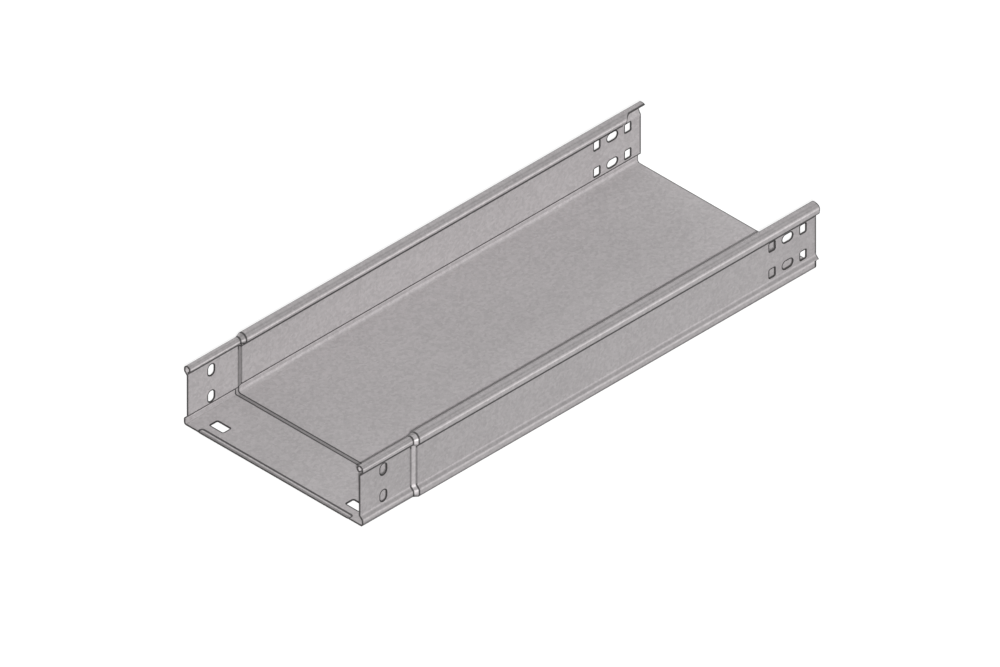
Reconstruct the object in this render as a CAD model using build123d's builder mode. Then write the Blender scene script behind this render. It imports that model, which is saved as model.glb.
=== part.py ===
import os

from build123d import *

# A straight length of unperforated cable tray, folded and rolled from one sheet of galvanised
# steel. X runs along the tray from the drawn-in coupling end, Y across it, Z up from the
# underside. All sizes are in millimetres.

# The sheet and the overall sizes
sheet = 1.0
trayLength = 500.0
overFeet = 200.0
trayHeight = 60.0

# The coupling end, drawn in on every side so that it slides into the next tray
drawnIn = 1.7
couplingLength = 55.9
jogLength = 4.9

# The foot under each wall: a short upright, then a ledge at 45 degrees back to the wall
footUpright = 7.8
ledgeRun = 3.2
footRadius = 3.2
couplingFootRadius = 2.2
bendRadius = 0.6

# The rolled edge along the top of each wall
rollRadius = 4.95
rollInset = 5.1
rollEndAngle = 258.0

# The slots in the walls, in two rows on both sides
rowLow = 17.5
rowPitch = 25.0
couplingSlotX = 26.0
couplingSlotLong = 6.8
couplingSlotHigh = 10.0
socketSlotX = 31.4
socketSlotLong = 11.2
socketSlotHigh = 7.0
keyPitch = 17.0
keyLong = 6.2
keyHigh = 7.8
keyRadius = 1.0

# The two slots in the floor of the coupling end
floorSlotX = 16.5
floorSlotInset = 25.3
floorSlotLong = 8.3
floorSlotWide = 14.4
floorSlotRadius = 1.2

# The bead pressed down along the leading edge of the floor
beadWidth = 5.2
beadDepth = 0.8
beadX = 2.25
beadInset = 17.0

# The socket end: the rolled edge reaches past the wall, its inner side is cut back, and so is
# the right foot
tabReach = 1.3
tabHalfHigh = 5.6
rollCutX = 16.3
rollCutRadius = 4.6
rollCutDrop = 0.9
footCutBack = 3.0

# Places that follow from the sizes above
startX = -(trayLength + tabReach) / 2
endX = startX + trayLength
jogStartX = startX + couplingLength
jogEndX = jogStartX + jogLength
rollZ = trayHeight - rollRadius
rollY = overFeet / 2 - rollInset
wallY = overFeet / 2 - ledgeRun
slotRows = (rowLow, rowLow + rowPitch)
wide = overFeet + 20
cornerSlip = 0.4142


def halfSection(x, inward, footCorner):
    # one side of the thick section, from the middle of the floor to the end of the rolled edge
    radius = rollRadius - inward
    foot = overFeet / 2 - inward
    wall = wallY - inward
    rollOut = rollY + radius
    rollLow = rollZ - radius * 0.83
    thin = sheet * cornerSlip
    skin = [
        (0, inward),
        (foot, inward),
        (foot, footUpright),
        (wall, footUpright + ledgeRun),
        (wall, rollLow - rollOut + wall),
        (rollOut, rollLow),
        (rollOut, rollZ),
    ]
    lining = [
        (rollOut - sheet, rollZ),
        (rollOut - sheet, rollLow + thin),
        (wall - sheet, rollLow + thin - rollOut + wall),
        (wall - sheet, footUpright - thin + ledgeRun),
        (foot - sheet, footUpright - thin),
        (foot - sheet, inward + sheet),
        (0, inward + sheet),
    ]
    outside = bendRadius + sheet
    skinBends = [footCorner, outside, bendRadius, bendRadius, outside]
    liningBends = [bendRadius, outside, outside, bendRadius, footCorner - sheet]
    with BuildSketch(Plane.YZ.offset(x)) as section:
        with BuildLine():
            Polyline(*skin)
            rollSkin = CenterArc((rollY, rollZ), radius, 0, rollEndAngle)
            rollLining = CenterArc((rollY, rollZ), radius - sheet, 0, rollEndAngle)
            Line(rollSkin @ 1, rollLining @ 1)
            Polyline(*lining)
            Line(lining[-1], skin[0])
        make_face()
        for corner, bend in zip(skin[1:6] + lining[1:6], skinBends + liningBends):
            fillet(section.vertices().sort_by_distance(corner)[0], bend)
    return section.sketch


def capsule(radius):
    # a round bar with ball ends, lying across the tray over the leading edge of the floor
    centre = (startX + beadX, 0, drawnIn + sheet + beadRise)
    reach = overFeet / 2 - beadInset - beadWidth / 2
    with BuildPart(Plane(centre)) as bar:
        Cylinder(radius, 2 * reach, rotation=(90, 0, 0))
        with Locations((0, -reach, 0), (0, reach, 0)):
            Sphere(radius)
    return bar.part


# The bead's arc passes through both of its edges and its lowest line
beadRadius = ((beadWidth / 2) ** 2 + beadDepth**2) / (2 * beadDepth)
beadRise = beadRadius - beadDepth

# The outer side of the bead, kept only where it bulges under the floor
with BuildPart() as beadBulge:
    add(capsule(beadRadius + sheet))
    with Locations((startX, 0, drawnIn + sheet / 2)):
        Box(30, wide, 30, align=(Align.MIN, Align.CENTER, Align.MAX), mode=Mode.INTERSECT)

# What is cut from the inner side of the rolled edge at the socket end
with BuildPart() as rollCut:
    with BuildSketch(Plane.XZ.offset(-rollY)) as rollCutSide:
        with Locations((endX - rollCutX, rollZ - rollCutDrop)):
            Circle(rollCutRadius)
            Rectangle(
                rollCutX + 10, 2 * rollCutRadius, align=(Align.MIN, Align.CENTER)
            )
    extrude(amount=rollRadius + 3)

# Everything past the end of the wall, except the rounded tab of the rolled edge
with BuildSketch(Plane.XZ.offset(-wide / 2)) as endTrim:
    with BuildLine():
        tab = ThreePointArc(
            (endX, rollZ - tabHalfHigh),
            (endX + tabReach, rollZ),
            (endX, rollZ + tabHalfHigh),
        )
        Polyline(
            tab @ 1,
            (endX, trayHeight + 10),
            (endX + 20, trayHeight + 10),
            (endX + 20, -10),
            (endX, -10),
            tab @ 0,
        )
    make_face()

# The whole tray: one side is made and mirrored, then the slots are cut through both walls
with BuildPart() as tray:
    extrude(halfSection(startX, drawnIn, couplingFootRadius), amount=couplingLength)
    loft(
        [
            halfSection(jogStartX, drawnIn, couplingFootRadius),
            halfSection(jogEndX, 0, footRadius),
        ],
        ruled=True,
    )
    extrude(halfSection(jogEndX, 0, footRadius), amount=endX + tabReach - jogEndX)
    add(rollCut.part, mode=Mode.SUBTRACT)
    extrude(endTrim.sketch, amount=wide, both=True, mode=Mode.SUBTRACT)
    mirror(about=Plane.XZ)

    # the right foot stops short of the socket end
    with Locations((endX - footCutBack, -wallY, -1)):
        Box(
            footCutBack + 10,
            20,
            footUpright + 1,
            align=(Align.MIN, Align.MAX, Align.MIN),
            mode=Mode.SUBTRACT,
        )

    # the bead
    add(beadBulge.part)
    add(capsule(beadRadius), mode=Mode.SUBTRACT)

    # the slots in the walls
    with BuildSketch(Plane.XZ.offset(-wide / 2)) as wallSlots:
        with Locations(*[(startX + couplingSlotX, z) for z in slotRows]):
            SlotOverall(couplingSlotHigh, couplingSlotLong, rotation=90)
        with Locations(*[(endX - socketSlotX, z) for z in slotRows]):
            SlotOverall(socketSlotLong, socketSlotHigh)
        with Locations(
            *[(endX - socketSlotX + side * keyPitch, z) for z in slotRows for side in (-1, 1)]
        ):
            RectangleRounded(keyLong, keyHigh, keyRadius)
    extrude(amount=wide, mode=Mode.SUBTRACT)

    # the slots in the floor of the coupling end
    with BuildSketch(Plane.XY) as floorSlots:
        with Locations(
            *[(startX + floorSlotX, side * (overFeet / 2 - floorSlotInset)) for side in (-1, 1)]
        ):
            RectangleRounded(floorSlotLong, floorSlotWide, floorSlotRadius)
    extrude(amount=drawnIn + 2 * sheet, mode=Mode.SUBTRACT)

tray.part.label = "tray"
os.makedirs("parts", exist_ok=True)
export_step(tray.part, "parts/tray.step")

box = tray.part.bounding_box()
print("tray", [round(v, 2) for v in (*box.min, *box.max)], "volume", round(tray.part.volume, 1))
print("solids", len(tray.part.solids()), "valid", tray.part.is_valid)
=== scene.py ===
from math import radians

import bpy
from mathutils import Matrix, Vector

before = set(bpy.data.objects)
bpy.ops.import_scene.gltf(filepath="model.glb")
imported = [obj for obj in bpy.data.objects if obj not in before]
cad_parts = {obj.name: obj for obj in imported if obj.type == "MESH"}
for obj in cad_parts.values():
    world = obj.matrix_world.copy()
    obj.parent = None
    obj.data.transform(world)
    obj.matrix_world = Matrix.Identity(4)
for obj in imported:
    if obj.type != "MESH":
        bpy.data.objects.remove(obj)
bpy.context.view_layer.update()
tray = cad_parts["tray"]
print("frame loaded:", sorted(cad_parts))


def linearColour(hexCode):
    # sRGB hex to the linear values that a shader takes
    def toLinear(value):
        return value / 12.92 if value <= 0.04045 else ((value + 0.055) / 1.055) ** 2.4

    channels = [int(hexCode[i : i + 2], 16) / 255 for i in (1, 3, 5)]
    return (*[toLinear(c) for c in channels], 1.0)


def addNode(tree, kind, links=None, values=None, **settings):
    # one node: settings are its attributes, values and links go to its sockets, and a node
    # given as a link stands for its first output
    node = tree.nodes.new(kind)
    for name, value in settings.items():
        setattr(node, name, value)
    for socket, value in (values or {}).items():
        node.inputs[socket].default_value = value
    for socket, source in (links or {}).items():
        output = source.outputs[0] if isinstance(source, bpy.types.Node) else source
        tree.links.new(output, node.inputs[socket])
    return node


def joined(tree, operation, sources):
    # all the sources together, by MAXIMUM, MULTIPLY or ADD
    total = sources[0]
    for source in sources[1:]:
        total = addNode(tree, "ShaderNodeMath", {0: total, 1: source}, operation=operation)
    return total


def distanceFrom(tree, value, middle, half=0.0):
    # how far a value is from the middle, less half
    away = addNode(tree, "ShaderNodeMath", {0: value}, {1: middle}, operation="SUBTRACT")
    away = addNode(tree, "ShaderNodeMath", {0: away}, operation="ABSOLUTE")
    return addNode(tree, "ShaderNodeMath", {0: away}, {1: half}, operation="SUBTRACT")


def distanceOutside(tree, along, across, size, radius):
    # distance outside a slot with rounded corners, from two values that are 0 at its middle
    sides = [
        addNode(
            tree,
            "ShaderNodeMath",
            {0: distanceFrom(tree, value, 0.0, full / 2 - radius)},
            {1: 0.0},
            operation="MAXIMUM",
        )
        for value, full in ((along, size[0]), (across, size[1]))
    ]
    corner = addNode(tree, "ShaderNodeCombineXYZ", {0: sides[0], 1: sides[1]})
    reach = addNode(tree, "ShaderNodeVectorMath", {0: corner}, operation="LENGTH")
    return addNode(
        tree, "ShaderNodeMath", {0: reach.outputs["Value"]}, {1: radius}, operation="SUBTRACT"
    )


# The steel. Lengths are in mm, in the tray's own frame: X along it with the coupling end low,
# Y across it and Z up
steel = {
    "mmPerMetre": 1000.0,
    "flakeDark": "#969293",
    "flakeLight": "#C4C0C1",
    "flakeSize": 2.2,
    "flakeShare": 0.3,
    # the size of each pattern, how many times longer it is along the tray, its detail and share
    "grain": (1.2, 1.0, 2.0, 0.4),
    "cloud": (70.0, 1.0, 3.0, 0.2),
    "streak": (2.0, 50.0, 2.0, 0.1),
    "dentStrength": 0.12,
    "dentDepth": 0.0002,
    # matt zinc mirrors far less than bare polished steel
    "metallic": 0.15,
    "roughness": (0.7, 0.82),
    "sheared": "#3E3B3B",
    # painted shade lines, dark in creases, around slot rims and at cut ends: the tone, half width
    # and fade of each kind
    "creaseShade": (0.16, 0.58, 0.45),
    "softCreaseShade": (0.5, 0.45, 1.0),
    "slotEdgeShade": (0.05, 0.75, 0.5),
    "endEdgeShade": (0.28, 1.2, 0.6),
    "footEdgeShade": (0.08, 1.4, 0.6),
    # where the ends and bends are, as in the part's source. The jog is the slope between the
    # coupling end and the wide part, and the roll is the rolled edge
    "startX": -250.65,
    "endX": 249.35,
    "tabReach": 1.3,
    "tabHalf": 5.6,
    "jogStart": -194.75,
    "jogEnd": -189.85,
    "drawnIn": 1.7,
    "rollY": 94.9,
    "rollZ": 55.05,
    "rollCutX": 233.05,
    "rollCutZ": 54.15,
    "rollCutRadius": 4.6,
    "wallFoot": 10.9,
    "plainWall": (29.5, 17.5),
    # the creases under the rolled edge, and how far each moves for 1 mm of drawing in
    "outerNeck": 48.9,
    "innerNeck": 142.8,
    "outerNeckShift": 1.83,
    "innerNeckShift": -1.41,
    "footEnd": 246.2,
    # the slots: the height of their rows, then the middle, size and corner radius of each kind
    "rowMiddle": 30.0,
    "rowHalf": 12.5,
    "couplingSlot": (-224.65, (6.8, 10.0), 3.4),
    "socketSlot": (217.95, (11.2, 7.0), 3.5),
    "keyPitch": 17.0,
    "keySlot": ((6.2, 7.8), 1.0),
    "floorSlot": (-234.15, 74.7, (8.3, 14.4), 1.2),
    "bead": (-248.4, (5.2, 166.0), 2.6),
    # each area is 0 at its first number and 1 at its second. These are in mm
    "areas": {
        "outer": (96.2, 96.4),
        "inner": (96.4, 96.2),
        "onWall": (5.0, 5.5),
        "onFloor": (5.5, 5.0),
        "onRoll": (5.3, 5.15),
        "rollInside": (0.0, -0.5),
        "wholeRoll": (230.0, 229.0),
        "aboveFoot": (12.0, 12.5),
        "belowRoll": (47.0, 46.5),
        "insideFoot": (93.0, 92.0),
        "lowFoot": (8.3, 7.9),
        "plainWall": (0.0, -1.0),
        "offPlainWall": (-1.0, 0.0),
        "inJog": (0.0, -0.5),
        "offJog": (-0.5, 0.0),
        "wide": (-189.85, -188.85),
        "rightSide": (-96.2, -96.6),
        "inBead": (0.3, -0.3),
        # and these go by how the surface faces
        "skin": (0.3, 0.5),
        "rollCutFace": (0.5, 0.3),
        "alongX": (0.6, 0.75),
        "offY": (0.6, 0.5),
        "offZ": (0.6, 0.5),
        "upward": (0.0, 0.1),
        "notUp": (0.3, 0.1),
        "faceIn": (-0.3, -0.5),
        "faceOut": (-0.15, -0.05),
    },
    # bands of painted highlight and painted shade: the middle, half width and fade of each, and
    # the tone that multiplies the zinc's colour there, above 1 for painted highlights and painted
    # light, below 1 for painted shade. On the rolled edge they go by the height of the normal, and
    # elsewhere they are in mm
    # painted shade on the top and upper back of the rolled edge, and two faint painted shade
    # streaks
    "rollTopShade": (1.0, 0.06, 0.1, 0.85),
    "rollBackShade": (0.68, 0.18, 0.14, 0.71),
    "rollShadeStreakLow": (0.56, 0.04, 0.06, 0.92),
    "rollShadeStreakHigh": (0.857, 0.03, 0.05, 0.92),
    # a painted highlight along the rolled edge where it faces nearly level
    "rollFaceHighlight": (0.15, 0.07, 0.1, 1.5),
    # painted shade on the underside of the rolled edge
    "rollUnderShade": (-0.8, 0.15, 0.15, 0.6),
    # painted light on the inside of the rolled edge, lightening its shade
    "rollLiningPaintedLight": (-1.0, 0.3, 0.2, 1.35),
    # a painted highlight on the rolled edge in the jog
    "rollJogHighlight": (0.15, 0.1, 0.15, 1.3),
    # painted shade on the ledge, and painted highlights at its top bend, the foot's corner and in
    # the jog
    "ledgeShade": (9.3, 0.4, 1.2, 0.66),
    "ledgeTopHighlight": (11.3, 0.2, 0.6, 1.06),
    "ledgeJogHighlight": (11.2, 0.7, 1.2, 1.3),
    "footCornerHighlight": (7.3, 0.4, 0.8, 1.25),
    "footJogHighlight": (6.8, 0.8, 1.2, 1.3),
    # painted shade along the bottom of the outer feet
    "footBottomShade": (0.0, 2.5, 1.3, 0.45),
    # a painted highlight in the inner bend of the foot, and a painted shade band beside it on the
    # floor
    "footLiningHighlight": (2.9, 0.5, 0.9, 1.3),
    "footStreakShade": (98.2, 0.5, 0.8, 0.84),
    # painted light on the inside of the walls
    "wallLiningPaintedLight": (29.5, 17.5, 1.5, 1.06),
    # painted shade on the bead at the coupling end
    "beadFrontShade": (-249.6, 1.3, 1.1, 0.6),
    # painted shade on the inner face of the jog, and a painted highlight on its outer face
    "jogLiningShade": (-192.3, 1.95, 0.5, 0.75),
    "jogSkinHighlight": (-192.3, 1.95, 0.5, 1.12),
}


def makeSteel(values):
    # Pre-galvanised sheet steel, cold rolled and roll formed: an even dull grey with a tight grain
    # of zinc flakes and dark sheared edges, with painted shade lines along bends and edges, and
    # bands of painted highlight and painted shade set by place and facing
    material = bpy.data.materials.new("preGalvanisedSheetSteel")
    material.use_nodes = True
    tree = material.node_tree
    tree.nodes.clear()

    # the place in mm, its distance from the middle of the tray, and the normal
    source = addNode(tree, "ShaderNodeTexCoord").outputs
    place = addNode(
        tree,
        "ShaderNodeVectorMath",
        {0: source["Object"]},
        {3: values["mmPerMetre"]},
        operation="SCALE",
    )
    x, y, z = addNode(tree, "ShaderNodeSeparateXYZ", {0: place}).outputs
    side = addNode(tree, "ShaderNodeMath", {0: y}, operation="ABSOLUTE")
    sign = addNode(tree, "ShaderNodeMath", {0: y}, operation="SIGN")
    facing = addNode(tree, "ShaderNodeSeparateXYZ", {0: source["Normal"]}).outputs
    outward = addNode(tree, "ShaderNodeMath", {0: facing[1], 1: sign}, operation="MULTIPLY")

    # the coupling end is drawn in, so its distances are put back by as much here
    drawnIn = addNode(
        tree,
        "ShaderNodeMapRange",
        {0: x},
        {1: values["jogStart"], 2: values["jogEnd"], 3: values["drawnIn"], 4: 0.0},
    )
    wallSide = addNode(tree, "ShaderNodeMath", {0: side, 1: drawnIn}, operation="ADD")
    across = addNode(tree, "ShaderNodeMath", {0: side, 1: z}, operation="SUBTRACT")
    along = addNode(tree, "ShaderNodeMath", {0: side, 1: z}, operation="ADD")
    lowZ, outerNeck, innerNeck = [
        addNode(
            tree,
            "ShaderNodeMath",
            {0: drawnIn, 2: value},
            {1: share},
            operation="MULTIPLY_ADD",
        )
        for value, share in (
            (z, -1.0),
            (across, values["outerNeckShift"]),
            (along, values["innerNeckShift"]),
        )
    ]

    # the rolled edge: the place from its axis, and how far the surface faces out from it
    rollOut = addNode(
        tree, "ShaderNodeMath", {0: side}, {1: values["rollY"]}, operation="SUBTRACT"
    )
    rollUp = addNode(tree, "ShaderNodeMath", {0: z}, {1: values["rollZ"]}, operation="SUBTRACT")
    spoke = addNode(tree, "ShaderNodeCombineXYZ", {1: rollOut, 2: rollUp})
    reach = addNode(tree, "ShaderNodeVectorMath", {0: spoke}, operation="LENGTH")
    reach = reach.outputs["Value"]
    spoke = addNode(tree, "ShaderNodeVectorMath", {0: spoke}, operation="NORMALIZE")
    tilt = addNode(tree, "ShaderNodeCombineXYZ", {1: outward, 2: facing[2]})
    radial = addNode(
        tree, "ShaderNodeVectorMath", {0: spoke, 1: tilt}, operation="DOT_PRODUCT"
    ).outputs["Value"]

    # the rounded tab at the socket end of each rolled edge
    tabHeight = distanceFrom(tree, z, values["rollZ"])
    tabHeight = addNode(
        tree, "ShaderNodeMath", {0: tabHeight}, {1: values["tabHalf"]}, operation="DIVIDE"
    )
    tabHeight = addNode(tree, "ShaderNodeMath", {0: tabHeight}, {1: 2.0}, operation="POWER")
    tab = addNode(
        tree, "ShaderNodeMapRange", {0: tabHeight}, {3: values["tabReach"], 4: 0.0}
    )
    socketX = addNode(tree, "ShaderNodeMath", {0: x, 1: tab}, operation="SUBTRACT")

    # the cut in the inner side of each rolled edge
    cutX = addNode(
        tree, "ShaderNodeMath", {0: x}, {1: values["rollCutX"]}, operation="SUBTRACT"
    )
    cutX = addNode(tree, "ShaderNodeMath", {0: cutX}, {1: 0.0}, operation="MINIMUM")
    cutZ = distanceFrom(tree, z, values["rollCutZ"])
    cut = addNode(tree, "ShaderNodeCombineXYZ", {0: cutX, 1: cutZ})
    cut = addNode(tree, "ShaderNodeVectorMath", {0: cut}, operation="LENGTH").outputs["Value"]

    # the areas, and the value that each goes by
    normalX, normalY, normalZ = [
        addNode(tree, "ShaderNodeMath", {0: part}, operation="ABSOLUTE") for part in facing
    ]
    cutFace = addNode(tree, "ShaderNodeMath", {0: radial}, operation="ABSOLUTE")
    beadX = distanceFrom(tree, x, values["bead"][0])
    bead = distanceOutside(tree, beadX, y, *values["bead"][1:])
    jogMiddle = (values["jogStart"] + values["jogEnd"]) / 2
    jogHalf = (values["jogEnd"] - values["jogStart"]) / 2
    offJog = distanceFrom(tree, x, jogMiddle, jogHalf)
    offPlain = distanceFrom(tree, z, *values["plainWall"])
    area = {
        name: addNode(
            tree,
            "ShaderNodeMapRange",
            {0: value},
            {1: values["areas"][name][0], 2: values["areas"][name][1]},
            interpolation_type="SMOOTHSTEP",
        )
        for name, value in (
            ("outer", wallSide),
            ("inner", wallSide),
            ("onWall", z),
            ("onFloor", z),
            ("onRoll", reach),
            ("rollInside", rollOut),
            ("wholeRoll", x),
            ("aboveFoot", z),
            ("belowRoll", z),
            ("insideFoot", wallSide),
            ("lowFoot", z),
            ("plainWall", offPlain),
            ("offPlainWall", offPlain),
            ("inJog", offJog),
            ("offJog", offJog),
            ("wide", x),
            ("rightSide", y),
            ("inBead", bead),
            ("skin", radial),
            ("rollCutFace", cutFace),
            ("alongX", normalX),
            ("offY", normalY),
            ("offZ", normalZ),
            ("upward", facing[2]),
            ("notUp", facing[2]),
            ("faceIn", outward),
            ("faceOut", outward),
        )
    }

    # painted shade lines in creases, around slot rims and at cut ends: the distance from each, the
    # areas it keeps to, and its kind
    rowZ = distanceFrom(tree, z, values["rowMiddle"], values["rowHalf"])
    jogLine = distanceFrom(tree, offJog, 0.0)
    endLine = distanceFrom(tree, socketX, values["endX"])
    lines = [
        (jogLine, ["offPlainWall"], "creaseShade"),
        (jogLine, ["plainWall"], "softCreaseShade"),
        (endLine, ["offPlainWall"], "creaseShade"),
        (endLine, ["plainWall"], "endEdgeShade"),
        (distanceFrom(tree, x, values["startX"]), [], "creaseShade"),
        (distanceFrom(tree, x, values["footEnd"]), ["rightSide", "lowFoot"], "footEdgeShade"),
        (distanceFrom(tree, z, values["wallFoot"]), ["inner"], "creaseShade"),
        (distanceFrom(tree, innerNeck, values["innerNeck"]), ["faceIn", "wholeRoll"], "creaseShade"),
        (distanceFrom(tree, outerNeck, values["outerNeck"]), ["outer", "offJog"], "creaseShade"),
        (distanceFrom(tree, cut, values["rollCutRadius"]), ["onRoll", "rollInside"], "creaseShade"),
        (distanceFrom(tree, bead, 0.0), ["onFloor"], "creaseShade"),
    ]
    for name in ("couplingSlot", "socketSlot"):
        middle, size, radius = values[name]
        slotX = distanceFrom(tree, x, middle)
        lines.append((distanceOutside(tree, slotX, rowZ, size, radius), ["onWall"], "slotEdgeShade"))
    keyX = distanceFrom(tree, x, values["socketSlot"][0], values["keyPitch"])
    lines.append((distanceOutside(tree, keyX, rowZ, *values["keySlot"]), ["onWall"], "slotEdgeShade"))
    middle, out, size, radius = values["floorSlot"]
    slotX, slotY = distanceFrom(tree, x, middle), distanceFrom(tree, side, out)
    lines.append((distanceOutside(tree, slotX, slotY, size, radius), ["onFloor"], "slotEdgeShade"))

    # the bands of painted highlight and painted shade: the value that each goes by, the areas it
    # keeps to, and its name
    bands = [
        (facing[2], ["onRoll", "skin"], "rollTopShade"),
        (facing[2], ["onRoll", "skin"], "rollBackShade"),
        (facing[2], ["onRoll", "skin"], "rollShadeStreakLow"),
        (facing[2], ["onRoll", "skin"], "rollShadeStreakHigh"),
        (facing[2], ["onRoll", "skin"], "rollFaceHighlight"),
        (facing[2], ["onRoll", "skin"], "rollUnderShade"),
        (facing[2], ["onRoll", "skin", "inJog"], "rollJogHighlight"),
        (radial, ["onRoll"], "rollLiningPaintedLight"),
        (z, ["outer"], "ledgeShade"),
        (z, ["outer"], "ledgeTopHighlight"),
        (z, ["outer", "inJog"], "ledgeJogHighlight"),
        (z, ["outer"], "footCornerHighlight"),
        (z, ["outer", "inJog"], "footJogHighlight"),
        (z, ["inner"], "wallLiningPaintedLight"),
        (z, ["onFloor", "faceIn", "wide"], "footLiningHighlight"),
        (lowZ, ["outer", "faceOut", "notUp"], "footBottomShade"),
        (wallSide, ["onFloor", "upward"], "footStreakShade"),
        (x, ["inBead", "onFloor", "upward"], "beadFrontShade"),
        (x, ["inner"], "jogLiningShade"),
        (x, ["outer"], "jogSkinHighlight"),
    ]

    def maskNear(away, half, fade, names):
        # 1 within half of the line, fading out, and only in the named areas
        near = addNode(
            tree,
            "ShaderNodeMapRange",
            {0: away},
            {1: half + fade, 2: half},
            interpolation_type="SMOOTHSTEP",
        )
        return joined(tree, "MULTIPLY", [near, *[area[name] for name in names]])

    masks = []
    for value, names, band in bands:
        middle, half, fade, tone = values[band]
        away = distanceFrom(tree, value, middle)
        masks.append((maskNear(away, half, fade, names), tone))
    for kind in ("creaseShade", "softCreaseShade", "slotEdgeShade", "endEdgeShade", "footEdgeShade"):
        tone, half, fade = values[kind]
        near = [maskNear(away, half, fade, names) for away, names, of in lines if of == kind]
        masks.append((joined(tree, "MAXIMUM", near), tone))
    paintedLightTones = [
        addNode(tree, "ShaderNodeMapRange", {0: mask}, {3: 1.0, 4: tone})
        for mask, tone in masks
    ]

    # sheared edges: where the surface does not face as the sheet does
    sheared = joined(
        tree,
        "MAXIMUM",
        [
            joined(tree, "MULTIPLY", [area[name] for name in names])
            for names in (
                ["alongX"],
                ["onRoll", "rollCutFace"],
                ["aboveFoot", "belowRoll", "offY"],
                ["insideFoot", "onFloor", "offZ"],
            )
        ],
    )

    # zinc flakes, drawn coarser than the real fine spangle, which is too small to show, with a
    # soft grain on them, broad clouds, and faint streaks along the tray from the rolls
    flakes = addNode(
        tree, "ShaderNodeTexVoronoi", {0: place}, {"Scale": 1 / values["flakeSize"]}
    )
    flake = addNode(tree, "ShaderNodeSeparateColor", {0: flakes.outputs["Color"]})
    shares = [(flake, values["flakeShare"])]
    for name in ("grain", "cloud", "streak"):
        size, stretch, detail, share = values[name]
        vector = addNode(tree, "ShaderNodeMapping", {0: place}, {3: (1 / stretch, 1.0, 1.0)})
        noise = addNode(
            tree, "ShaderNodeTexNoise", {0: vector}, {"Scale": 1 / size, "Detail": detail}
        )
        shares.append((noise, share))
    mottle = joined(
        tree,
        "ADD",
        [
            addNode(tree, "ShaderNodeMath", {0: pattern}, {1: share}, operation="MULTIPLY")
            for pattern, share in shares
        ],
    )
    zinc = addNode(
        tree,
        "ShaderNodeMix",
        {0: mottle},
        {6: linearColour(values["flakeDark"]), 7: linearColour(values["flakeLight"])},
        data_type="RGBA",
    ).outputs[2]

    # the painted highlight and shade tones multiply the zinc's colour, and sheared steel covers it
    tone = joined(tree, "MULTIPLY", paintedLightTones)
    zincWithPaintedLight = addNode(tree, "ShaderNodeVectorMath", {0: zinc, 3: tone}, operation="SCALE")
    colour = addNode(
        tree,
        "ShaderNodeMix",
        {0: sheared, 6: zincWithPaintedLight},
        {7: linearColour(values["sheared"])},
        data_type="RGBA",
    ).outputs[2]
    roughness = addNode(
        tree,
        "ShaderNodeMapRange",
        {0: mottle},
        {3: values["roughness"][0], 4: values["roughness"][1]},
    )
    dents = addNode(
        tree,
        "ShaderNodeBump",
        {"Height": mottle},
        {"Strength": values["dentStrength"], "Distance": values["dentDepth"]},
    )
    shader = addNode(
        tree,
        "ShaderNodeBsdfPrincipled",
        {"Base Color": colour, "Roughness": roughness, "Normal": dents},
        {"Metallic": values["metallic"]},
    )
    addNode(tree, "ShaderNodeOutputMaterial", {"Surface": shader})
    return material


tray.data.materials.clear()
tray.data.materials.append(makeSteel(steel))
print("steel made")


# A plain white floor, and a world that shows white to the camera and in the metal
studio = {
    "floorSize": 12.0,
    "floorLevel": -0.0002,
    "floorColour": "#888888",
    # how white the floor looks, and the light that the world gives
    "floorGlow": 0.85,
    "worldLight": 0.22,
    # a far key lamp with parallel rays, its angle in degrees, and a low lamp behind the left
    # wall. The key comes from close to the camera, so that the only shadow that the camera sees
    # in the tray is a thin dark line beside the near rolled edge
    "keyStrength": 3.48,
    "keyAngle": 0.7,
    "keyPlace": (-3.6, -3.66, 3.52),
    "backPower": 62.0,
    "backSize": 2.4,
    "backPlace": (0.6, 3.4, 0.86),
}


def seenRays(tree):
    # 1 for what the camera sees straight or mirrored in the metal, and 0 for what gives light
    rays = addNode(tree, "ShaderNodeLightPath").outputs
    names = ("Is Camera Ray", "Is Glossy Ray", "Is Transmission Ray")
    return joined(tree, "MAXIMUM", [rays[name] for name in names])


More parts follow.
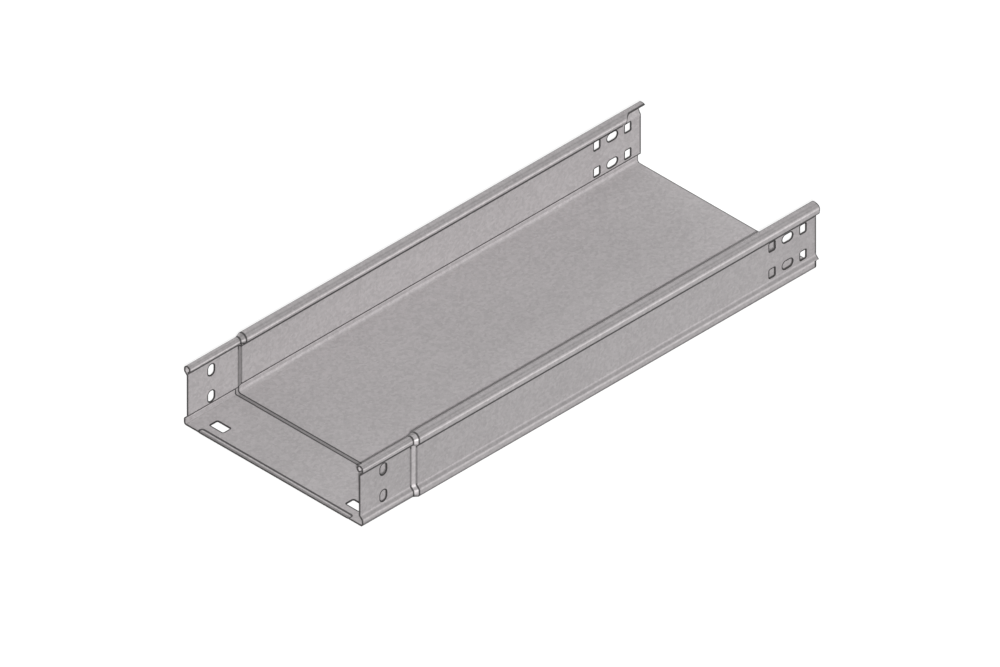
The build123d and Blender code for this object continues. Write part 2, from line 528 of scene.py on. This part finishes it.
def makeFloor(values):
    bpy.ops.object.select_all(action="DESELECT")
    bpy.ops.mesh.primitive_plane_add(
        size=values["floorSize"], location=(0, 0, values["floorLevel"])
    )
    floor = bpy.context.object
    floor.name = "studioFloor"
    material = bpy.data.materials.new("whiteStudioFloor")
    material.use_nodes = True
    tree = material.node_tree
    tree.nodes.clear()
    paint = addNode(
        tree, "ShaderNodeBsdfDiffuse", values={0: linearColour(values["floorColour"])}
    )
    share = addNode(
        tree,
        "ShaderNodeMath",
        {0: seenRays(tree)},
        {1: values["floorGlow"]},
        operation="MULTIPLY",
    )
    glow = addNode(tree, "ShaderNodeEmission", {1: share})
    mixed = addNode(tree, "ShaderNodeAddShader", {0: paint, 1: glow})
    addNode(tree, "ShaderNodeOutputMaterial", {"Surface": mixed})
    floor.data.materials.append(material)


def makeWorld(values):
    world = bpy.data.worlds.new("whiteStudio")
    bpy.context.scene.world = world
    world.use_nodes = True
    tree = world.node_tree
    tree.nodes.clear()
    white = (1.0, 1.0, 1.0, 1.0)
    lit = addNode(tree, "ShaderNodeBackground", values={0: white, 1: values["worldLight"]})
    shown = addNode(tree, "ShaderNodeBackground", values={0: white, 1: 1.0})
    mixed = addNode(tree, "ShaderNodeMixShader", {0: seenRays(tree), 1: lit, 2: shown})
    addNode(tree, "ShaderNodeOutputWorld", {"Surface": mixed})


def addLamp(name, kind, place, energy, **settings):
    bpy.ops.object.select_all(action="DESELECT")
    bpy.ops.object.light_add(type=kind, location=place)
    lamp = bpy.context.object
    lamp.name = name
    lamp.data.energy = energy
    for setting, value in settings.items():
        setattr(lamp.data, setting, value)
    lamp.rotation_euler = (-Vector(place)).to_track_quat("-Z", "Y").to_euler()


def makeLamps(values):
    angle = radians(values["keyAngle"])
    addLamp("keyLamp", "SUN", values["keyPlace"], values["keyStrength"], angle=angle)
    size = values["backSize"]
    addLamp("backLamp", "AREA", values["backPlace"], values["backPower"], size=size)


makeFloor(studio)
makeWorld(studio)
makeLamps(studio)
print("floor, world and lamps made")


# The camera: an isometric view with no perspective, over the coupling end's near corner
view = {
    "towards": (1, 1, -1),
    "target": (0.00323, 0.00461, 0.00784),
    "away": 3.0,
    "across": 0.7773,
}
towards = Vector(view["towards"]).normalized()
bpy.ops.object.select_all(action="DESELECT")
bpy.ops.object.camera_add(location=Vector(view["target"]) - towards * view["away"])
camera = bpy.context.object
camera.rotation_euler = towards.to_track_quat("-Z", "Y").to_euler()
camera.data.type = "ORTHO"
camera.data.ortho_scale = view["across"]
bpy.context.scene.camera = camera
bpy.context.scene.view_settings.view_transform = "Standard"
print("camera made")
